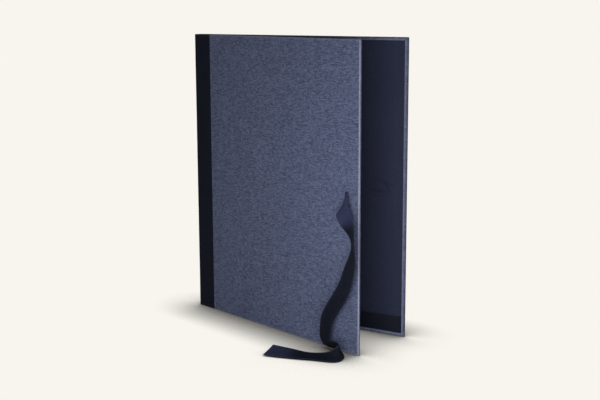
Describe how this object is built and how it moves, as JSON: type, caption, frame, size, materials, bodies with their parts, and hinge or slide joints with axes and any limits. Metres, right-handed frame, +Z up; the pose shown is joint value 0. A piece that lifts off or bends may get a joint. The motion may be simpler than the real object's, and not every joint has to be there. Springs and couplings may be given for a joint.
{
  "type": "music folder",
  "caption": "Quarter-bound folder of cloth-covered boards that opens like a book on cloth hinges, with a low inner pocket along the bottom and a tie ribbon from a slit in the cover.",
  "frame": {"origin": "middle of the base between the covers as the folder stands a little open: half-way from the spine's outer face to the covers' fore-edges, at the height of the bottom edges", "axes": "+Z up along the spine, +X from the spine towards the open fore-edges, +Y towards the back cover, which has the pocket inside"},
  "size_m": [0.2693, 0.1465, 0.32],
  "materials": {
    "blue_canvas": "woven canvas, matt",
    "black_bookcloth": "fine bookcloth, matt",
    "navy_lining": "plain lining paper, matt",
    "greyboard": "raw greyboard",
    "navy_ribbon": "plain woven ribbon, slight sheen"
  },
  "bodies": {
    "spine": {"spine_board": "greyboard", "spine_cloth": "black_bookcloth", "spine_lining": "black_bookcloth"},
    "front_cover": {"front_board": "greyboard", "front_canvas": "blue_canvas", "front_spine_cloth": "black_bookcloth", "front_hinge_strip": "black_bookcloth", "front_lining": "navy_lining", "front_ribbon_root": "navy_ribbon", "front_outer_joint": "black_bookcloth", "front_inner_joint": "black_bookcloth", "front_ribbon": "navy_ribbon"},
    "back_cover": {"back_board": "greyboard", "back_canvas": "blue_canvas", "back_spine_cloth": "black_bookcloth", "back_hinge_strip": "black_bookcloth", "back_lining": "navy_lining", "back_ribbon_root": "navy_ribbon", "back_outer_joint": "black_bookcloth", "back_inner_joint": "black_bookcloth", "bottom_pocket": "black_bookcloth"}
  },
  "joints": [
    {"name": "front_hinge", "type": "hinge", "parent": "spine", "child": "front_cover", "pos_m": [-0.13013, -0.0048, 0.16], "axis": [0, 0, -1], "range_deg": [-8, 127], "deforming": ["front_outer_joint", "front_inner_joint"]},
    {"name": "back_hinge", "type": "hinge", "parent": "spine", "child": "back_cover", "pos_m": [-0.13013, 0.0048, 0.16], "axis": [0, 0, 1], "range_deg": [-8, 127], "deforming": ["back_outer_joint", "back_inner_joint"]}
  ]
}
